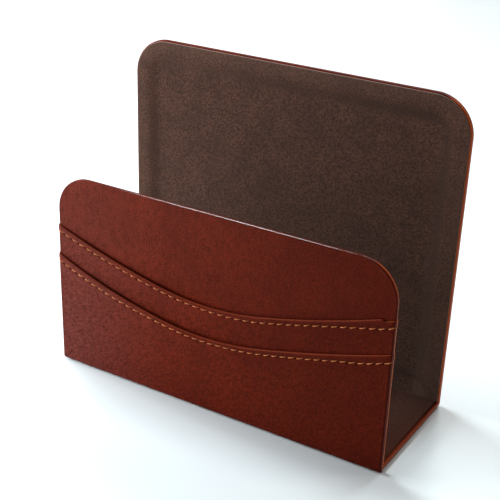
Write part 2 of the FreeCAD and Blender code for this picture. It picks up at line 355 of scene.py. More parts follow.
def board_finish():
    """Pressed brown fibre, speckled with longer light fibres."""
    material, tree, surface = new_material("pressed_fibre", {"Roughness": 0.85, "Specular IOR Level": 0.2})
    speckle = noise(tree, place_mm(tree, stretch=(1.0, 1.0, 3.0)), 0.9, detail=4.0, roughness=0.7)
    share = spread(tree, speckle, 0.35, 0.7)
    colour = blend_colours(tree, share, picked(112, 84, 58), picked(160, 128, 94))
    dress_surface(tree, surface, colour, maths(tree, "MULTIPLY", speckle, 0.08), 0.6)
    return material


suede = napped_finish("brown_suede", (40, 22, 15), (92, 58, 44), 0.75, 0.18)
# The base's suede is a darker, redder copy: painted shade, for the shade that the walls throw on the base.
base_suede = napped_finish("base_suede", (36, 14, 6), (74, 31, 16), 0.75, 0.08)
felt = napped_finish("dark_felt", (38, 30, 27), (58, 46, 41), 1.4, 0.2)
thread = thread_finish()
pressed_fibre = board_finish()
for name in ("back_board", "base_board", "front_board"):
    nodes[name].data.materials.clear()
    nodes[name].data.materials.append(pressed_fibre)
print("other finishes:", suede.name, base_suede.name, felt.name, thread.name, pressed_fibre.name)

# %% [markdown]
# ## Sheets with turned edges
#
# The cover, the linings and the pad are all sheets with rounded corners whose edge has a cross-section:
# flat face, rounded arris, side, arris again, flat back. They could be boxes with bevels, but a bevel can't
# step over a hidden layer or wrap a turned-in border. So a sheet is built flat from a plan, as rows across
# a rounded rectangle, and its edge is a list of rings. Each ring is the same outline moved in by some
# distance and sunk by some depth, and a function then folds the flat sheet to where it lies.

# %% Plan of a sheet


class Plan:
    """A flat sheet with rounded corners. Stations are distances from its starting edge."""

    def __init__(self, half, length, start_radius, end_radius, spacing, arc_steps=18, stations=()):
        self.half = half
        self.length = length
        self.radii = (start_radius, end_radius)
        self.arc = np.linspace(0, math.pi / 2, arc_steps + 1)
        self.columns = max(8, round(2 * half / spacing))
        low, high = start_radius, length - end_radius
        even = np.linspace(low, high, max(2, round((high - low) / spacing)) + 1)[1:-1]
        clear = [s for s in even if all(abs(s - f) > spacing / 3 for f in stations)]
        self.straight = np.array(sorted([*clear, *stations]))

    def rows(self, inset):
        """Half-width and station of each row, for the outline moved in by inset."""
        corner = []
        for radius in self.radii:
            centre = max(radius, inset)
            arc_radius = max(radius - inset, 0.0)
            widths = self.half - centre + arc_radius * np.sin(self.arc)
            corner.append((widths, centre - arc_radius * np.cos(self.arc)))
        (start_widths, start), (end_widths, end) = corner
        side = np.full(len(self.straight), self.half - inset)
        widths = np.concatenate([start_widths, side, end_widths[::-1]])
        straight = np.clip(self.straight, start[-1], self.length - end[-1])
        stations = np.concatenate([start, straight, self.length - end[::-1]])
        return widths, stations

    def level(self, inset):
        """X and station of every point of the grid inside that outline."""
        widths, stations = self.rows(inset)
        shares = np.linspace(-1, 1, self.columns + 1)
        return np.outer(widths, shares), np.repeat(stations[:, None], self.columns + 1, axis=1)


# %% [markdown]
# The rings and grids become one closed mesh. Doubled points are merged, because where a fold is sharper
# than the sheet is deep several points fall together, and then the normals are worked out again so that
# every face looks outwards. The marks at an edge, which are wax, pressed nap, and painted light and
# shade, are kept as an attribute that the materials read.

# %% Build a sheet


def add_piece(name, points_mm, faces, material, edge=None):
    """A closed smooth mesh object at the origin, from points in millimetres."""
    mesh = bpy.data.meshes.new(name)
    mesh.from_pydata((np.asarray(points_mm) * MM).tolist(), [], [list(map(int, f)) for f in faces])
    if edge is not None:
        mesh.attributes.new("edge", "FLOAT", "POINT").data.foreach_set("value", edge)
    work = bmesh.new()
    work.from_mesh(mesh)
    bmesh.ops.remove_doubles(work, verts=work.verts, dist=1e-7)
    bmesh.ops.recalc_face_normals(work, faces=work.faces)
    for face in work.faces:
        face.smooth = True
    work.to_mesh(mesh)
    work.free()
    mesh.materials.append(material)
    piece = add_object(name, mesh)
    print(f"{name}: {len(mesh.polygons)} faces")
    return piece


def band(first, second):
    """Faces between two closed rings of point numbers."""
    after_first, after_second = np.roll(first, -1), np.roll(second, -1)
    return np.stack([first, after_first, after_second, second], axis=1).tolist()


def formed_sheet(name, plan, section, place, material, marked_at=None):
    """A sheet whose edge follows section, a list of (inset, depth, mark), folded by place.

    The mark is the edge value there, or the last function turns it into that value where a sheet's edges
    aren't all alike. The value carries wax, pressed nap, and painted light and shade.
    """
    points, faces, marks_and_painted_light, rings = [], [], [], []
    count = 0
    for step, (inset, depth, mark) in enumerate(section):
        x, station = plan.level(inset)
        index = np.arange(x.size).reshape(x.shape)
        rim = np.concatenate([index[0, :-1], index[:-1, -1], index[-1, :0:-1], index[:0:-1, 0]])
        whole = step in (0, len(section) - 1)
        used = index.ravel() if whole else rim
        x, station = x.ravel()[used], station.ravel()[used]
        points.append(place(x, station, np.full(len(used), depth)))
        marks_and_painted_light.append(marked_at(x, station, mark) if marked_at else np.full(len(used), mark))
        rings.append(count + (rim if whole else np.arange(len(rim))))
        if whole:
            grid = count + index
            quads = [grid[:-1, :-1], grid[:-1, 1:], grid[1:, 1:], grid[1:, :-1]]
            faces += np.stack([q.ravel() for q in quads], axis=1).tolist()
        count += len(used)
    for first, second in zip(rings, rings[1:]):
        faces += band(first, second)
    return add_piece(name, np.concatenate(points), faces, material, np.concatenate(marks_and_painted_light))


def arc_section(radius, depth, start, end, steps, mark):
    """Points of a section round an arris, whose angles are counted from the face inwards."""
    angles = np.radians(np.linspace(start, end, steps + 1))
    return [(radius - radius * math.sin(a), depth - radius * math.cos(a), mark) for a in angles]


# %% [markdown]
# ## The outer cover
#
# One sheet of leather goes down the front, under the base and up the back. At every free edge it rolls
# round the board and is glued down inside as a border, which the lining then hides except for a narrow
# strip. The section below follows the leather round that edge: its outer skin out to the arris, the side
# between two soft arrises, the border, and back along the underside of the skin. Each of its points has a
# mark that tells which part of the edge it is on, because wax and painted light differ from part to part:
# the front's top edge is waxed, and the edges at the right have painted light where light from the right
# catches them. The fold function bends the flat sheet round the three boards, with a small radius at the
# feet.

# %% Fold the cover round the boards
front_run = front_height - cover_low.z - foot_radius
bend_run = foot_radius * math.pi / 2
base_run = cover_high.y - cover_low.y - 2 * foot_radius
back_run = back_height - cover_low.z - foot_radius
folds = np.cumsum([front_run, bend_run, base_run, bend_run, back_run])
skin_dip = 0.05


def smooth(value, low, high):
    """From 0 at low to 1 at high, without a corner."""
    share = np.clip((value - low) / (high - low), 0.0, 1.0)
    return share * share * (3.0 - 2.0 * share)


def slow_waves(across, along):
    """Slight unevenness of a glued skin, from 0 to 1."""
    first = np.sin(across / 17.0 + along / 29.0 + 0.7) * np.sin(along / 21.0 - across / 37.0)
    second = np.sin(across / 9.0 - along / 13.0 + 2.1) * np.sin(along / 11.0 + across / 15.0 + 0.4)
    return 0.5 + 0.35 * first + 0.15 * second


def fold_cover(x, station, depth):
    """Where a point of the flat cover lies, this deep below its outer face."""
    depth = depth + np.where(depth < 1e-6, skin_dip * slow_waves(x, station), 0.0)
    in_front = depth - (back_wall - front_wall) * (depth > back_wall / 2)
    low, front, back = cover_low.z, cover_low.y, cover_high.y
    at_front, at_back, on_floor = front + in_front, back - depth, low + depth

    turn_radius = foot_radius - depth
    tight = turn_radius < 0
    first = (station - folds[0]) / foot_radius
    second = (station - folds[2]) / foot_radius
    first_y = np.where(tight, at_front, front + foot_radius - turn_radius * np.cos(first))
    first_z = np.where(tight, on_floor, low + foot_radius - turn_radius * np.sin(first))
    second_y = np.where(tight, at_back, back - foot_radius + turn_radius * np.sin(second))
    second_z = np.where(tight, on_floor, low + foot_radius - turn_radius * np.cos(second))

    falling = np.maximum(front_height - station, on_floor)
    base_y = np.clip(front + foot_radius + station - folds[1], at_front, at_back)
    rising = np.maximum(low + foot_radius + station - folds[3], on_floor)
    zone = np.searchsorted(folds[:-1], station - 1e-6)
    y = np.choose(zone, [at_front, first_y, base_y, second_y, at_back])
    z = np.choose(zone, [falling, first_z, on_floor, second_z, rising])
    return np.stack([x, y, z], axis=1)


bend_steps = np.linspace(0, bend_run, 7)
inner_step = back_wall - foot_radius
cover_stations = [
    folds[0] - inner_step,
    *(folds[0] + bend_steps),
    folds[1] + front_wall - foot_radius,
    folds[2] - inner_step,
    *(folds[2] + bend_steps),
    folds[3] + inner_step,
]
cover_plan = Plan(
    cover_half, folds[-1], corner_radius, corner_radius, spacing=3.0, arc_steps=24, stations=cover_stations
)
plain_face, outer_arris, outer_side, inner_side, inner_arris = 0.0, 0.4, 0.6, 0.8, 1.0
# How strong the painted light is: a pale glint on the rear arrises at the right, and a weaker glow on the
# base's edge there.
painted_glint_level, base_painted_light = 1.8, 0.5
wax_fades = (30.0, 70.0)
cover_section = [
    (4.0, 0.0, plain_face),
    (2.0, 0.0, plain_face),
    *arc_section(edge_radius, edge_radius, 0, 40, 3, plain_face),
    *arc_section(edge_radius, edge_radius, 55, 90, 3, outer_arris),
    (0.0, 0.65, outer_side),
    (0.0, back_wall - 0.9, inner_side),
    *arc_section(edge_radius, back_wall - edge_radius, 90, 180, 6, inner_arris),
    (0.9, back_wall, plain_face),
    (4.0, back_wall, plain_face),
    (turn_in, back_wall, plain_face),
    (turn_in, back_wall - leather, plain_face),
    (leather, back_wall - leather, plain_face),
    (leather, leather, plain_face),
    (4.0, leather, plain_face),
]


def edge_wax_and_painted_light(x, station, mark):
    """Painted light over 0 on the edges at the right, a pale painted glint near 2, and wax under 0."""
    if mark == plain_face:
        return np.zeros_like(x)
    # Light from the right catches these edges, so their painted light lies only at the right, and the wax
    # keeps to the rest.
    painted_light_right = smooth(x, cover_half - corner_radius, cover_half - 0.4 * corner_radius)
    on_front = station < folds[0]
    if mark == outer_arris:
        waxed = (1.0 - painted_light_right) * (1.0 - smooth(-x, *wax_fades))
        return np.where(on_front, -waxed, 0.0)
    in_corner = 1.0 - smooth(station, 0.6 * corner_radius, corner_radius)
    if mark == inner_arris:
        on_base = (station > folds[1]) & (station < folds[2])
        front_painted_glint = painted_glint_level - (painted_glint_level - 1.0) * in_corner
        return np.where(on_front, front_painted_glint, np.where(on_base, base_painted_light, 1.0)) * painted_light_right
    return np.where(on_front, in_corner, 1.0) * mark * painted_light_right


cover = formed_sheet("cover", cover_plan, cover_section, fold_cover, cover_leather, edge_wax_and_painted_light)
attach(cover, "root")
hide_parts("outer_cover")

# %% [markdown]
# ## The linings
#
# Three brown suede sheets are glued to the inner faces. Each lies over the turned-in border of the cover
# and sinks slowly on to the board beyond it, so a soft frame shows a finger's width in from the edge. A
# flat plate with that frame painted on would miss how it catches the light. So the step is geometry: the
# height of a point depends on how far it lies inside the cover's edge. On the base it is drawn out so far
# that it hardly shows. In front the sheet also rises over the side flaps of the card pockets. Marks give
# the nap painted shade in the hollow along the step, and its cut edge a painted highlight.

# %% Steps under the linings
lining = 0.5
lining_inset = 0.6
base_inset = 1.4
wall_gap = 0.02
step_width = 9.0
base_step_width = 16.0
step_early = 1.5
flap_width = 6.0
flap_pared = 0.2


def inside_edge(x, from_top):
    """How far a point of a wall lies inside the cover's edge, also round its corner."""
    side = cover_half - np.abs(x)
    beyond_side = np.maximum(corner_radius - side, 0.0)
    beyond_top = np.maximum(corner_radius - from_top, 0.0)
    round_corner = corner_radius - np.hypot(beyond_side, beyond_top)
    in_corner = (beyond_side > 0) & (beyond_top > 0)
    return np.where(in_corner, round_corner, np.minimum(side, from_top))


def border_rise(inside, width):
    """Height of the turned-in border under a lining, with its edge softened by the sheet over it."""
    start = turn_in - step_early
    return leather * (1.0 - smooth(inside, start, start + width))


# %% [markdown]
# The mouth of a card pocket is one smooth curve: a short arc across the middle that runs into a much wider
# arc on each side. The lining needs it for the flaps, and the pockets and their seams follow it later.

# %% The curve of a pocket's mouth
mouth_middle_radius = 130.0
mouth_middle_half = 27.0
mouth_side_radius = 500.0


def rise_of_mouth(x):
    """How far the mouth has risen above its middle at this distance from the middle."""
    lean = math.asin(mouth_middle_half / mouth_middle_radius)
    apart = mouth_side_radius - mouth_middle_radius
    near = np.minimum(np.abs(x), mouth_middle_half)
    far = np.abs(x) + apart * math.sin(lean)
    middle = mouth_middle_radius - np.sqrt(mouth_middle_radius**2 - near**2)
    side = mouth_middle_radius + apart * math.cos(lean) - np.sqrt(mouth_side_radius**2 - far**2)
    return np.where(np.abs(x) <= mouth_middle_half, middle, side)


upper_low, upper_high = box_mm("upper_pocket")
lower_low, lower_high = box_mm("lower_pocket")
upper_mouth = upper_high.z - rise_of_mouth(upper_high.x)
lower_mouth = lower_high.z - rise_of_mouth(lower_high.x)
print(f"mouths {float(upper_mouth):.1f} and {float(lower_mouth):.1f} mm high in the middle")

# %% Glue in the linings
floor_board = base_board_high.z
back_plane = back_board_low.y
front_plane = front_board_high.y
nap_radius = lining / 2


def lining_section(width, painted_valley_shade):
    """Edge of a suede sheet: its face with the step under it, a soft arris, and its back."""
    reach = turn_in + width
    start = turn_in - step_early - lining_inset
    face = [start + width * share for share in (1.05, 0.9, 0.75, 0.6, 0.5, 0.4, 0.25, 0.1, -0.05)]
    # Painted shade in the hollow where the sheet sinks from the border, and paler pressed nap on the border
    # itself.
    press_and_painted_shade = [painted_valley_shade * share for share in (0.0, -0.3, -0.7, -1.0, -1.0, -0.8, -0.3, 0.2, 0.4)]
    return [
        (reach, 0.0, 0.0),
        *[(inset, 0.0, step_mark) for inset, step_mark in zip(face, press_and_painted_shade)],
        (3.0, 0.0, 0.5 * painted_valley_shade),
        (0.9, 0.0, 0.6 * painted_valley_shade),
        *arc_section(nap_radius, nap_radius, 0, 36, 2, 0.6),
        *arc_section(nap_radius, nap_radius, 54, 90, 2, 1.0),
        (0.0, lining, 1.0),
        (3.0, lining, 0.0),
        (face[-1], lining, 0.0),
        (face[4], lining, 0.0),
        (reach, lining, 0.0),
    ]


def lining_nap_and_painted_light(x, station, mark):
    """Painted highlight on the cut edge at the top and the right; painted shade in the hollow, deeper at
    the right.
    """
    if mark < 0.0:
        return mark * (0.3 + 0.7 * smooth(x, -60.0, 60.0))
    at_top = 1.0 - smooth(station, 8.0, corner_radius)
    at_right = smooth(x, 60.0, 80.0)
    return np.maximum(0.5, np.maximum(at_top, 0.85 * at_right)) * mark


def base_edge(x, station, mark):
    """The base's cut edge lies in shade and hardly shows."""
    return np.full_like(x, 0.4 * mark)


def base_rise(x):
    """Height of the base's turned-in border, which lies along its two open ends only."""
    return border_rise(cover_half - np.abs(x), base_step_width)


def lay_on_back(x, station, depth):
    """Where a point of the back's sheet lies. Its foot stands on the base."""
    from_top = station + lining_inset
    z = np.maximum(back_height - from_top, floor_board + base_rise(x))
    y = back_plane - border_rise(inside_edge(x, from_top), step_width) - lining + depth
    return np.stack([x, y, z], axis=1)


def lay_on_front(x, station, depth):
    """Where a point of the front's sheet lies, also over the pockets' flaps."""
    from_top = station + lining_inset
    z = np.maximum(front_height - from_top, floor_board + base_rise(x))
    over_flap = smooth(np.abs(x), cover_half - flap_width - step_width, cover_half - flap_width)
    flaps = sum(
        smooth(middle + rise_of_mouth(x) - z, -step_width, 0.0) for middle in (upper_mouth, lower_mouth)
    )
    rise = border_rise(inside_edge(x, from_top), step_width) + flap_pared * flaps * over_flap
    return np.stack([x, front_plane + rise + lining - depth, z], axis=1)


def lay_on_base(x, station, depth):
    """Where a point of the base's sheet lies. It ends just short of both walls' sheets."""
    y = front_plane + lining + wall_gap + station
    between_walls = np.minimum(y, back_plane - lining - wall_gap)
    z = floor_board + base_rise(x) + lining - depth
    return np.stack([x, between_walls, z], axis=1)


lining_half = cover_half - lining_inset
lining_corner = corner_radius - lining_inset
back_length = back_height - lining_inset - floor_board
front_length = front_height - lining_inset - floor_board
base_length = back_plane - front_plane - 2 * lining - 2 * wall_gap
base_half = cover_half - base_inset
wall_look, base_look = (suede, lining_nap_and_painted_light), (base_suede, base_edge)
for name, place, half, length, corner, width, painted_valley_shade, look in (
    ("back_lining", lay_on_back, lining_half, back_length, lining_corner, step_width, 0.65, wall_look),
    ("front_lining", lay_on_front, lining_half, front_length, lining_corner, step_width, 0.4, wall_look),
    ("base_lining", lay_on_base, base_half, base_length, 0.0, base_step_width, 0.0, base_look),
):
    plan = Plan(half, length, corner, 0.0, spacing=2.0)
    sheet = formed_sheet(name + "_suede", plan, lining_section(width, painted_valley_shade), place, *look)
    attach(sheet, "root")
    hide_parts(name)

# %% [markdown]
# ## The pad
#
# A thin felt pad closes the underside, over the lower pocket's glued flap, and is what stands on the desk.
# Its lower face is flat. Its upper face leaves room for the flap, so the pad is thinner along the front.

# %% Felt pad
pad_low, pad_high = box_mm("base_pad")
pad_corner = 4.0
foot_flap = 12.0
flap_end = lower_low.y + foot_flap


def lay_under_base(x, station, depth):
    """Where a point of the pad lies, below the base and the lower pocket's flap."""
    y = pad_low.y + station
    top = pad_high.z - flap_pared * (1 - smooth(y, flap_end, flap_end + 0.8))
    z = np.minimum(pad_low.z + depth, top)
    return np.stack([x, y, z], axis=1)


pad_thickness = pad_high.z - pad_low.z
pad_arris = 0.12
pad_plan = Plan(pad_high.x, pad_high.y - pad_low.y, pad_corner, pad_corner, spacing=2.0, arc_steps=8)
pad_section = [
    (3.0, 0.0, 0.0),
    (1.0, 0.0, 0.0),
    *arc_section(pad_arris, pad_arris, 0, 90, 3, 0.6),
    *arc_section(pad_arris, pad_thickness - pad_arris, 90, 180, 3, 0.6),
    (3.0, pad_thickness, 0.0),
]
pad = formed_sheet("felt_pad", pad_plan, pad_section, lay_under_base, felt)
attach(pad, "root")
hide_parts("base_pad")

# %% [markdown]
# ## The card pockets
#
# Each pocket is one sheet of thinner leather. Its mouth is folded back and sewn, its sides turn round the
# panel to the inner face, and the lower one also goes round the foot and under the base. A box with a
# curved top would show none of that. So the sheet is woven on two sets of lines. Columns run along its
# plan, from one hidden flap round the panel to the other. Rows follow the sheet's section, from the lower
# edge up to the mouth, over the fold, and down again inside. Both skins are kept, so the mesh is closed.
#
# What gives a sewn hem its life is small: the doubled leather swells between fold and seam, the seam pulls
# a furrow, the skin relaxes below the hem, and the mouth stands off the panel a little where nothing holds
# it. Those are sums of a few smooth bumps, added along the outward direction of each column.

# %% Columns round the panel
front_spacing = 0.45
bend_reach = cover_half - edge_radius


def plan_path(half, front, back):
    """Plan of one skin, from the end of its left flap round the panel to the end of its right flap."""
    bend = half - bend_reach
    first = np.radians(np.linspace(0, 90, 9))[1:]
    second = np.radians(np.linspace(90, 180, 7))[1:]
    along_front = np.linspace(0, bend_reach, round(bend_reach / front_spacing) + 1)
    side = np.linspace(front + bend, back - bend, 5)[1:]
    flap = np.linspace(bend_reach, cover_half - flap_width, 7)[1:]
    turned = bend_reach + bend * np.sin(first)
    turned_again = bend_reach + bend * np.sin(second)
    x = np.concatenate([along_front, turned, np.full(len(side), half), turned_again, flap])
    y = np.concatenate(
        [
            np.full(len(along_front), front),
            front + bend - bend * np.cos(first),
            side,
            back - bend - bend * np.cos(second),
            np.full(len(flap), back),
        ]
    )
    return np.concatenate([-x[:0:-1], x]), np.concatenate([y[:0:-1], y])


# %% [markdown]
# The hem's relief is written once, as how far the outer skin stands out at a distance below the fold, and
# both the pockets and their seams read it. So a stitch always lies on the leather, however the numbers are
# tuned. The seam keeps a nearly even distance to the fold. It drifts a little where the maker's hand did.

# %% Relief of a sewn hem
pocket_skin = 0.35
hem_layer = upper_low.y - lower_low.y - pocket_skin
hem_depth = 6.0
hem_swell = 0.30
swell_power = 0.8
swell_below = 0.3
swell_reach = 1.2
seam_furrow = 0.16
furrow_width = 0.5
hem_step = 0.10
side_swell = 0.25
mouth_gape = 0.85
hold_power = 2.5
right_hold = 0.35
dip_start, dip_end = 6.5, 4.0


def hem_relief(drop, seam_at):
    """Outward offset of the outer skin from its double layer, the seam's pull and the hem's end."""
    above = np.clip(drop / seam_at, 0.0, 1.0)
    below = np.clip((drop - seam_at) / (hem_depth + swell_reach - seam_at), 0.0, 1.0)
    swollen = np.sin(math.pi * above) ** swell_power + swell_below * np.sin(math.pi * below)
    return hem_swell * swollen - seam_furrow * np.exp(-(((drop - seam_at) / furrow_width) ** 2))


def mouth_lift(x, drop, reach):
    """How far the mouth stands off what is behind it. It is held at both sides, and more at the right."""
    share = x / bend_reach
    held = np.clip(1.0 - np.abs(share) ** hold_power, 0.0, 1.0)
    return mouth_gape * (1.0 - right_hold * share) * held * np.clip(1.0 - drop / reach, 0.0, 1.0) ** 2


# %% [markdown]
# A pocket keeps its columns and the rows woven so far. Every row is given by its height, by its share of
# the way from the outer skin to what the pocket lies on, and by how far it is pushed outwards. Near the
# foot a row may also slide back, because there the sheet begins to turn under the base. The mouth gapes
# over a reach below its fold, and the upper one dips a little just before its right end.

# %% A pocket that is woven row by row


class Pocket:
    """Columns of a pocket sheet, and the rows that are woven on them."""

    def __init__(self, low, high, behind_low, behind_back, mouth, drifts, reach, dip):
        self.low, self.high = low, high
        self.outer = plan_path(high.x, low.y, high.y)
        self.behind = plan_path(-behind_low.x, behind_low.y, behind_back)
        self.mouth, self.reach, self.dip = mouth, reach, dip
        self.fold_drift, self.seam_drift = drifts
        x, y = self.outer
        bend = high.x - bend_reach
        self.side_end = high.y - bend
        self.goes_down = y <= self.side_end + 1e-6
        self.on_front = (1.0 - smooth(np.abs(x), bend_reach - 1.0, high.x)) * (y <= low.y + bend)
        self.on_side = smooth(np.abs(x), bend_reach, high.x) * self.goes_down
        self.inner_share = 1.0 - self.on_front * hem_layer / (hem_layer + pocket_skin)
        self.fold = self.fold_height(x)
        self.seam = self.fold - self.seam_height(x)
        at_right = x > bend_reach - 1e-6
        # A painted glint along the rear arris of the right side, where light from the right catches it.
        self.painted_edge_light = painted_glint_level * smooth(y, self.side_end - 0.6, self.side_end - 0.2) * at_right
        self.rows, self.marks_and_painted_light = [], []

    def cut_height(self, x):
        """Height at which the mouth was really cut and folded, but for the dip near its right end."""
        return self.mouth + rise_of_mouth(x) + np.polyval(np.polyfit(*self.fold_drift, 4), x)

    def fold_height(self, x):
        """Height of the folded mouth."""
        return self.cut_height(x) - self.dip * smooth(x, self.high.x - dip_start, self.high.x - dip_end)

    def seam_height(self, x):
        """Height of the seam, which doesn't follow that dip."""
        return self.cut_height(x) - np.interp(x, *self.seam_drift)

    def lift(self, x, drop):
        """Offset that all layers share at this distance below the fold."""
        sunk = hem_step * smooth(drop, hem_depth - 1.5, hem_depth + 3.0)
        return mouth_lift(x, drop, self.reach) - sunk

    def add(self, z, share, push, painted_light=0.0, slide=0.0, under=0.0):
        """Weave one row."""
        (x_out, y_out), (x_in, y_in) = self.outer, self.behind
        apart = np.hypot(x_in - x_out, y_in - y_out)
        x = x_out + (x_in - x_out) * share + (x_out - x_in) / apart * push
        y = y_out + (y_in - y_out) * share + (y_out - y_in) / apart * push
        room = self.side_end - (y_out.min() + (y_in.min() - y_out.min()) * np.max(share * self.on_front))
        slid = self.side_end - (self.side_end - y) * (1.0 - slide / room)
        y = np.where(self.goes_down, slid, y) + under
        self.rows.append(np.stack([x, y, z + np.zeros_like(x)], axis=1))
        self.marks_and_painted_light.append(np.maximum(painted_light, self.painted_edge_light))

    def add_outer(self, z, painted_light=0.0):
        """Weave a row of the outer skin at this height."""
        x, drop = self.outer[0], self.fold - z
        bump = side_swell * self.on_side * np.sin(math.pi * np.clip((drop + 0.5) / 4.5, 0.0, 1.0))
        push = self.on_front * (self.lift(x, drop) + hem_relief(drop, self.seam)) + bump
        self.add(z, 0.0, push, painted_light)

    def add_inner(self, z, share):
        """Weave a row of the inner side at this height."""
        self.add(z, share, self.on_front * self.lift(self.outer[0], self.fold - z))

    def sheet(self, name, material):
        """The closed mesh of all rows, with a face across each hidden flap's end."""
        grid = np.array(self.rows)
        index = np.arange(grid.shape[0] * grid.shape[1]).reshape(grid.shape[:2])
        after = np.roll(index, -1, axis=0)
        quads = np.stack([index[:, :-1], index[:, 1:], after[:, 1:], after[:, :-1]], axis=-1)
        ends = [index[:, 0].tolist(), index[::-1, -1].tolist()]
        faces = quads.reshape(-1, 4).tolist() + ends
        return add_piece(name, grid.reshape(-1, 3), faces, material, np.concatenate(self.marks_and_painted_light))


# %% [markdown]
# Now the rows themselves. They lie close together where the relief is fine, between the fold and the hem's
# end, and far apart on the plain panel. The fold is half an ellipse from the outer skin to the turned-in
# layer. Only the lower pocket goes round the foot: its rows slide back along a quarter circle, and then
# run on under the base as a flap that is cut short near both sides.
#
# Two short tables for each pocket tell where the maker's hand strayed: at places across the front, how much
# higher than its even curve the fold lies, and how far below the fold the seam runs.

# %% Rows of a pocket
panel_from_fold = 18.0
fold_reach = 0.42
outer_drops = [*np.linspace(panel_from_fold, 7.4, 13), *np.arange(7.1, fold_reach + 0.1, -0.22)]
inner_drops = (hem_depth, 8.0, 12.0, panel_from_fold)
# A painted highlight along each fold's crest, where light from above catches it.
fold_painted_highlight = 0.43
fold_highlight_width = 0.7
flap_foot = base_board_high.z + leather
foot_steps = np.radians(np.linspace(90, 0, 8))
flap_runs = (1.0, 0.7, 0.4, 0.15)
flap_fade = (84.0, 87.0)


def weave_foot(pocket, inner):
    """Rows of one skin of the lower pocket, from under the base to the start of the panel."""
    radius = foot_radius + (0.0 if inner else pocket_skin)
    bottom = cover_low.z if inner else pocket.low.z
    share = pocket.inner_share if inner else 0.0
    x = pocket.outer[0]
    reach = (foot_flap - radius) * (1.0 - smooth(np.abs(x), *flap_fade)) * pocket.goes_down
    steps = [(foot_steps[0], run) for run in flap_runs] + [(angle, 0.0) for angle in foot_steps]
    for angle, run in reversed(steps) if inner else steps:
        z = bottom + radius * (1 - math.sin(angle))
        height = np.where(pocket.goes_down, z, flap_foot)
        pocket.add(height, share, 0.0, slide=radius * (1 - math.cos(angle)), under=run * reach)


def weave(pocket, foot):
    """All rows of a pocket, round its section."""
    floor = np.where(pocket.goes_down, foot, flap_foot)
    fold, panel_top = pocket.fold, pocket.fold - panel_from_fold
    if pocket.low.z < cover_low.z:
        weave_foot(pocket, inner=False)
    else:
        pocket.add(floor, 0.0, 0.0)
    for share in np.linspace(0, 1, 16)[1:-1]:
        pocket.add_outer(floor + (panel_top - floor) * share)
    for drop in outer_drops:
        pocket.add_outer(fold - drop, fold_painted_highlight * math.exp(-((drop / fold_highlight_width) ** 2)))
    for angle in np.radians(np.linspace(0, 180, 11)):
        share = (1 - math.cos(angle)) / 2
        drop = fold_reach * (1 - math.sin(angle))
        skin = hem_relief(np.full_like(fold, drop), pocket.seam)
        push = pocket.lift(pocket.outer[0], drop) + skin * (1 - share)
        pocket.add(fold - drop, share, pocket.on_front * push, fold_painted_highlight)
    for drop in np.linspace(fold_reach, hem_depth, 7)[1:]:
        pocket.add_inner(fold - drop, 1.0)
    for drop in inner_drops:
        pocket.add_inner(fold - drop, pocket.inner_share)
    for share in np.linspace(1, 0, 6)[1:-1]:
        pocket.add_inner(floor + (panel_top - floor) * share, pocket.inner_share)
    if pocket.low.z < cover_low.z:
        weave_foot(pocket, inner=True)
    else:
        pocket.add(floor, pocket.inner_share, 0.0)


margin_plane = front_board_high.y + leather
upper_drifts = (
    ((-90, -70, -40, -10, 20, 50, 82, 90), (-1.3, -1.3, -0.5, -0.3, 0.7, 0.8, 1.5, 1.6)),
    ((-90, -70, -40, -10, 20, 50, 65, 75, 85), (3.4, 2.8, 2.6, 2.2, 2.8, 2.7, 3.2, 3.9, 4.8)),
)
lower_drifts = (
    ((-90, -70, -40, -10, 20, 50, 75, 90), (-0.2, -1.2, -1.0, -0.4, 0.9, 1.0, 0.7, 0.8)),
    ((-90, -55, -25, 5, 35, 65, 76, 90), (3.8, 3.4, 2.5, 2.3, 2.8, 3.3, 4.1, 4.0)),
)
upper_place = (upper_low, upper_high, cover_low, margin_plane, upper_mouth, upper_drifts)
lower_place = (lower_low, lower_high, upper_low, upper_high.y, lower_mouth, lower_drifts)
upper_pocket = Pocket(*upper_place, reach=14.0, dip=1.2)
lower_pocket = Pocket(*lower_place, reach=18.0, dip=0.0)
weave(upper_pocket, upper_low.z)
weave(lower_pocket, lower_low.z + foot_radius + pocket_skin)
upper_sheet = upper_pocket.sheet("upper_card_pocket", pocket_leather)
lower_sheet = lower_pocket.sheet("lower_card_pocket", pocket_leather)

# %% [markdown]
# ## The seams
#
# A seam is one stitch repeated along a path, which is what Geometry Nodes are for. The path is a line of
# points on the relief below the fold. The node tree turns it into a curve, spreads points along it, and
# puts a stitch on each. Every stitch lies a little askew, as hand-guided stitches do, because the needle
# enters beside where the last stitch ended. The thread is two strands twisted together: two small circles
# side by side, swept along an arch whose ends dive into the leather.

# %% The path of a seam
stitch_length = 3.4
thread_width = 0.6
last_stitch = 1.5
path_points = 400


def seam_path(name, pocket, pitch):
    """The seam's middle line on the leather, as a mesh of edges, and how many stitches it holds."""
    ends = pocket.high.x - last_stitch
    bend = pocket.high.x - bend_reach
    x = np.linspace(-ends, ends, path_points)
    z = pocket.seam_height(x)
    drop = pocket.fold_height(x) - z
    round_bend = bend - np.sqrt(bend**2 - np.maximum(np.abs(x) - bend_reach, 0.0) ** 2)
    y = pocket.low.y + round_bend - pocket.lift(x, drop) - hem_relief(drop, drop)
    points = np.stack([x, y, z], axis=1)
    length = float(np.sum(np.linalg.norm(np.diff(points, axis=0), axis=1)))
    mesh = bpy.data.meshes.new(name)
    mesh.from_pydata((points * MM).tolist(), [(i, i + 1) for i in range(len(x) - 1)], [])
    path = add_object(name, mesh)
    count = round(length / pitch) + 1
    print(f"{name}: {length:.1f} mm long, {count} stitches")
    return path, count


# %% Node tree for a row of stitches
# Four shares of the thread's width, and the twist of its strands over one stitch in radians.
stitch_sink = 0.7
stitch_crown = 1.5
strand_radius = 0.28
strand_offset = 0.22
strand_twist = 9.0


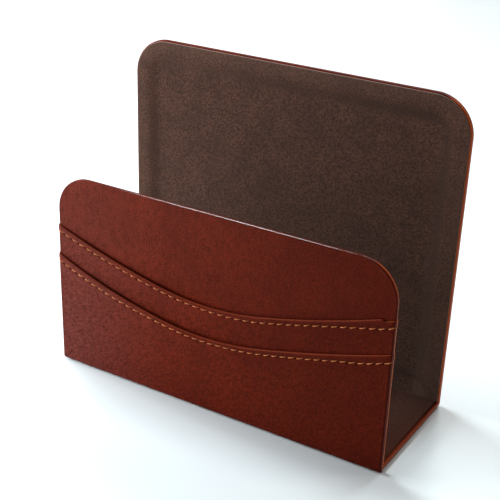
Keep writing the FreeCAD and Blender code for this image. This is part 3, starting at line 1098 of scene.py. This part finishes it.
def new_tree(name, **labels):
    """A Geometry Nodes tree with inputs, whose labels are given by kind, and the nodes at its two ends."""
    tree = bpy.data.node_groups.new(name, "GeometryNodeTree")
    tree.interface.new_socket("Geometry", in_out="INPUT", socket_type="NodeSocketGeometry")
    for kind, names in labels.items():
        for label in names:
            tree.interface.new_socket(label, in_out="INPUT", socket_type="NodeSocket" + kind)
    tree.interface.new_socket("Geometry", in_out="OUTPUT", socket_type="NodeSocketGeometry")
    return tree, add_node(tree, "NodeGroupInput"), add_node(tree, "NodeGroupOutput")


def run_tree(piece, tree, values):
    """The plain mesh that a tree makes of a piece, given values by their input's name."""
    modifier = piece.modifiers.new(tree.name, "NODES")
    modifier.node_group = tree
    for item in tree.interface.items_tree:
        if item.in_out == "INPUT" and item.name in values:
            modifier[item.identifier] = values[item.name]
    depsgraph = bpy.context.evaluated_depsgraph_get()
    depsgraph.update()
    mesh = bpy.data.meshes.new_from_object(piece.evaluated_get(depsgraph))
    piece.modifiers.remove(modifier)
    return mesh


def spots_on_seam(tree, seam, stitches, slant):
    """A point for each stitch of a seam, and how a stitch is turned there."""
    path = add_node(tree, "GeometryNodeMeshToCurve", {"Mesh": seam})
    even = {"Curve": path.outputs[0], "Count": stitches}
    spots = add_node(tree, "GeometryNodeCurveToPoints", even, mode="COUNT")
    axes = {"Primary Axis": spots.outputs["Tangent"], "Secondary Axis": (0.0, -1.0, 0.0)}
    along = add_node(tree, "FunctionNodeAxesToRotation", axes, primary_axis="X", secondary_axis="Z")
    turn = add_node(tree, "FunctionNodeEulerToRotation", {"Euler": vector(tree, Z=slant)})
    both = {"Rotation": along.outputs[0], "Rotate By": turn.outputs[0]}
    turned = add_node(tree, "FunctionNodeRotateRotation", both, rotation_space="LOCAL")
    return spots.outputs["Points"], turned.outputs[0]


def stitches_tree():
    """Stitches along a path of edges, each an arch of two twisted strands."""
    floats = ("Stitch length", "Thread width", "Slant", "Unevenness")
    labels = {"Int": ("Stitches", "Seed"), "Float": floats, "Material": ("Thread",)}
    tree, start, end = new_tree("stitch_row", **labels)
    given = start.outputs
    width = given["Thread width"]
    half = maths(tree, "MULTIPLY", given["Stitch length"], 0.5)
    sunk = maths(tree, "MULTIPLY", width, -stitch_sink)
    points = {
        "Start": vector(tree, X=maths(tree, "MULTIPLY", half, -1.0), Z=sunk),
        "Middle": vector(tree, Z=maths(tree, "MULTIPLY", width, stitch_crown)),
        "End": vector(tree, X=half, Z=sunk),
    }
    arch = add_node(tree, "GeometryNodeCurveQuadraticBezier", {"Resolution": 14, **points})
    along = add_node(tree, "GeometryNodeSplineParameter").outputs["Factor"]
    tilt = {"Curve": arch.outputs[0], "Tilt": maths(tree, "MULTIPLY", along, strand_twist)}
    twisted = add_node(tree, "GeometryNodeSetCurveTilt", tilt)

    circle = {"Resolution": 6, "Radius": maths(tree, "MULTIPLY", width, strand_radius)}
    ring = add_node(tree, "GeometryNodeCurvePrimitiveCircle", circle, mode="RADIUS")
    strands = add_node(tree, "GeometryNodeJoinGeometry")
    for side in (-strand_offset, strand_offset):
        shift = vector(tree, X=maths(tree, "MULTIPLY", width, side))
        beside = {"Geometry": ring.outputs[0], "Translation": shift}
        moved = add_node(tree, "GeometryNodeTransform", beside)
        tree.links.new(moved.outputs[0], strands.inputs[0])
    sweep = {"Curve": twisted.outputs[0], "Profile Curve": strands.outputs[0], "Fill Caps": True}
    stitch = add_node(tree, "GeometryNodeCurveToMesh", sweep)

    least = maths(tree, "MULTIPLY", given["Unevenness"], -1.0)
    limits = {"Min_001": least, "Max_001": given["Unevenness"], "Seed": given["Seed"]}
    askew = add_node(tree, "FunctionNodeRandomValue", limits, data_type="FLOAT")
    slant = maths(tree, "ADD", given["Slant"], output(askew, "Value_001"))
    spots, turned = spots_on_seam(tree, given[0], given["Stitches"], slant)
    row = {"Points": spots, "Instance": stitch.outputs[0], "Rotation": turned}
    placed = add_node(tree, "GeometryNodeInstanceOnPoints", row)
    real = add_node(tree, "GeometryNodeRealizeInstances", {"Geometry": placed.outputs[0]})
    soft = add_node(tree, "GeometryNodeSetShadeSmooth", {"Geometry": real.outputs[0]})
    colouring = {"Geometry": soft.outputs[0], "Material": given["Thread"]}
    tree.links.new(add_node(tree, "GeometryNodeSetMaterial", colouring).outputs[0], end.inputs[0])
    return tree


# %% [markdown]
# Where the needle went in, the leather is drawn down into a small pit. The pits could be modelled by hand,
# but a second tree does it from the same path: it finds the two ends of every stitch, measures how far
# each point of the leather is from the nearest one, and sinks what is close.

# %% Node tree for the needle's pits


def pits_tree():
    """Sinks the leather round both ends of every stitch of a seam."""
    floats = ("Stitch length", "Slant", "Depth", "Reach")
    tree, start, end = new_tree("needle_pits", Object=("Seam",), Int=("Stitches",), Float=floats)
    given = start.outputs
    seam = add_node(tree, "GeometryNodeObjectInfo", {"Object": given["Seam"]}).outputs["Geometry"]
    spots, turned = spots_on_seam(tree, seam, given["Stitches"], given["Slant"])
    holes = add_node(tree, "GeometryNodeJoinGeometry")
    for side in (-0.5, 0.5):
        local = vector(tree, X=maths(tree, "MULTIPLY", given["Stitch length"], side))
        step = add_node(tree, "FunctionNodeRotateVector", {"Vector": local, "Rotation": turned})
        moved = add_node(tree, "GeometryNodeSetPosition", {"Geometry": spots, "Offset": step.outputs[0]})
        tree.links.new(moved.outputs[0], holes.inputs[0])
    target = {"Target": holes.outputs[0]}
    near = add_node(tree, "GeometryNodeProximity", target, target_element="POINTS").outputs["Distance"]
    sink = spread(tree, near, 0.0, given["Reach"], given["Depth"], 0.0)
    normal = add_node(tree, "GeometryNodeInputNormal").outputs[0]
    facing_out = add_node(tree, "ShaderNodeSeparateXYZ", {"Vector": normal}).outputs["Y"]
    outer_only = maths(tree, "MAXIMUM", maths(tree, "MULTIPLY", facing_out, -1.0), 0.0)
    inwards = vector(tree, Y=maths(tree, "MULTIPLY", sink, outer_only))
    pulled = add_node(tree, "GeometryNodeSetPosition", {"Geometry": given[0], "Offset": inwards})
    tree.links.new(pulled.outputs[0], end.inputs[0])
    return tree


# %% Sew both pockets
stitch_slant = math.radians(8)
stitch_unevenness = math.radians(2.5)
pit_depth = 0.32
pit_reach = 0.8
row_of_stitches = stitches_tree()
pits = pits_tree()

for node, pocket, sheet, seam_node, pitch, seed in (
    ("upper_pocket", upper_pocket, upper_sheet, "upper_stitching", 4.55, 5),
    ("lower_pocket", lower_pocket, lower_sheet, "lower_stitching", 4.35, 9),
):
    path, count = seam_path(seam_node + "_path", pocket, pitch)
    values = {"Stitches": count, "Stitch length": stitch_length * MM, "Slant": stitch_slant}
    pit_values = {"Seam": path, "Depth": pit_depth * MM, "Reach": pit_reach * MM}
    sewn = run_tree(sheet, pits, {**values, **pit_values})
    sewn.name = sheet.name
    sheet.data = sewn
    thread_values = {"Thread width": thread_width * MM, "Unevenness": stitch_unevenness, "Seed": seed}
    seam_mesh = run_tree(path, row_of_stitches, {**values, **thread_values, "Thread": thread})
    seam = add_object(node + "_seam", seam_mesh)
    bpy.data.objects.remove(path)
    print(f"{seam.name}: {len(seam_mesh.polygons)} faces")
    for piece, replaced, slot in ((sheet, node, "pocket_leather"), (seam, seam_node, "thread")):
        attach(piece, "root")
        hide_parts(replaced)

# %% [markdown]
# ## Table and light
#
# The rack stands on a plain pale table, which ends a little in front of it, so that from behind the rack is
# seen before the white room. The light is soft. A wide window behind throws the shadow forwards and shows
# in the waxed edge. Windows high and low at the left graze the front and model the pockets, and two weaker
# lights beside them fill what they leave dark. Two warm lamps, behind and at the right, warm the edges.
# The level is plain, so that a colour renders about as it was picked. The room is white because the world
# shows white to the camera, not because more light falls on the rack.

# %% Table
table_half, table_near, table_far = 1.2, -0.42, 1.6
table_look = {"Roughness": 0.35, "Specular IOR Level": 0.3, "Base Color": picked(228, 231, 232)}
table_corners = [(-table_half, table_near, 0), (table_half, table_near, 0)]
table_corners += [(table_half, table_far, 0), (-table_half, table_far, 0)]
table_mesh = bpy.data.meshes.new("table")
table_mesh.from_pydata(table_corners, [], [(0, 1, 2, 3)])
table_mesh.materials.append(new_material("pale_table", table_look)[0])
table = add_object("table", table_mesh)
print(f"table: {2 * table_half:.2f} by {table_far - table_near:.2f} m")

# %% Lights
light_aim = Vector((0, 0, 60)) * MM
room_glow = 0.05


def soft_light(name, place, width, power, tint):
    """A square soft light at this place in millimetres, aimed at the middle of the rack."""
    lamp = bpy.data.lights.new(name, "AREA")
    lamp.shape = "SQUARE"
    lamp.size = width * MM
    lamp.energy = power
    lamp.color = tint
    light = add_object(name, lamp)
    light.location = Vector(place) * MM
    light.rotation_euler = (light_aim - light.location).to_track_quat("-Z", "Y").to_euler()
    print(f"{name}: {power} W")


soft_light("back_window", (0, 1100, 1100), 800, 13.9, (0.89, 0.97, 1.0))
soft_light("high_window", (-570, 200, 1150), 300, 10.0, (0.85, 0.96, 1.0))
soft_light("side_window", (-900, -60, 150), 300, 22.0, (0.89, 0.97, 1.0))
soft_light("near_side", (-650, -150, 300), 400, 2.2, (1.0, 1.0, 1.0))
soft_light("left_card", (-330, -230, 130), 200, 1.2, (0.83, 0.95, 1.0))
soft_light("back_lamp", (-700, 1000, 500), 800, 2.3, (1.0, 0.8, 0.68))
soft_light("right_lamp", (800, 500, 420), 250, 1.5, (1.0, 0.78, 0.6))

world = bpy.data.worlds.new("white_room")
world.use_nodes = True
world_tree = world.node_tree
world_tree.nodes.clear()
seen = add_node(world_tree, "ShaderNodeLightPath").outputs["Is Camera Ray"]
shades = {"Factor_Float": seen, "A_Float": room_glow, "B_Float": 1.0}
strength = output(add_node(world_tree, "ShaderNodeMix", shades, data_type="FLOAT"), "Result_Float")
white = {"Color": (1.0, 1.0, 1.0, 1.0), "Strength": strength}
sky = add_node(world_tree, "ShaderNodeBackground", white)
add_node(world_tree, "ShaderNodeOutputWorld", {"Surface": sky.outputs[0]})
bpy.context.scene.world = world
bpy.context.scene.view_settings.view_transform = "Standard"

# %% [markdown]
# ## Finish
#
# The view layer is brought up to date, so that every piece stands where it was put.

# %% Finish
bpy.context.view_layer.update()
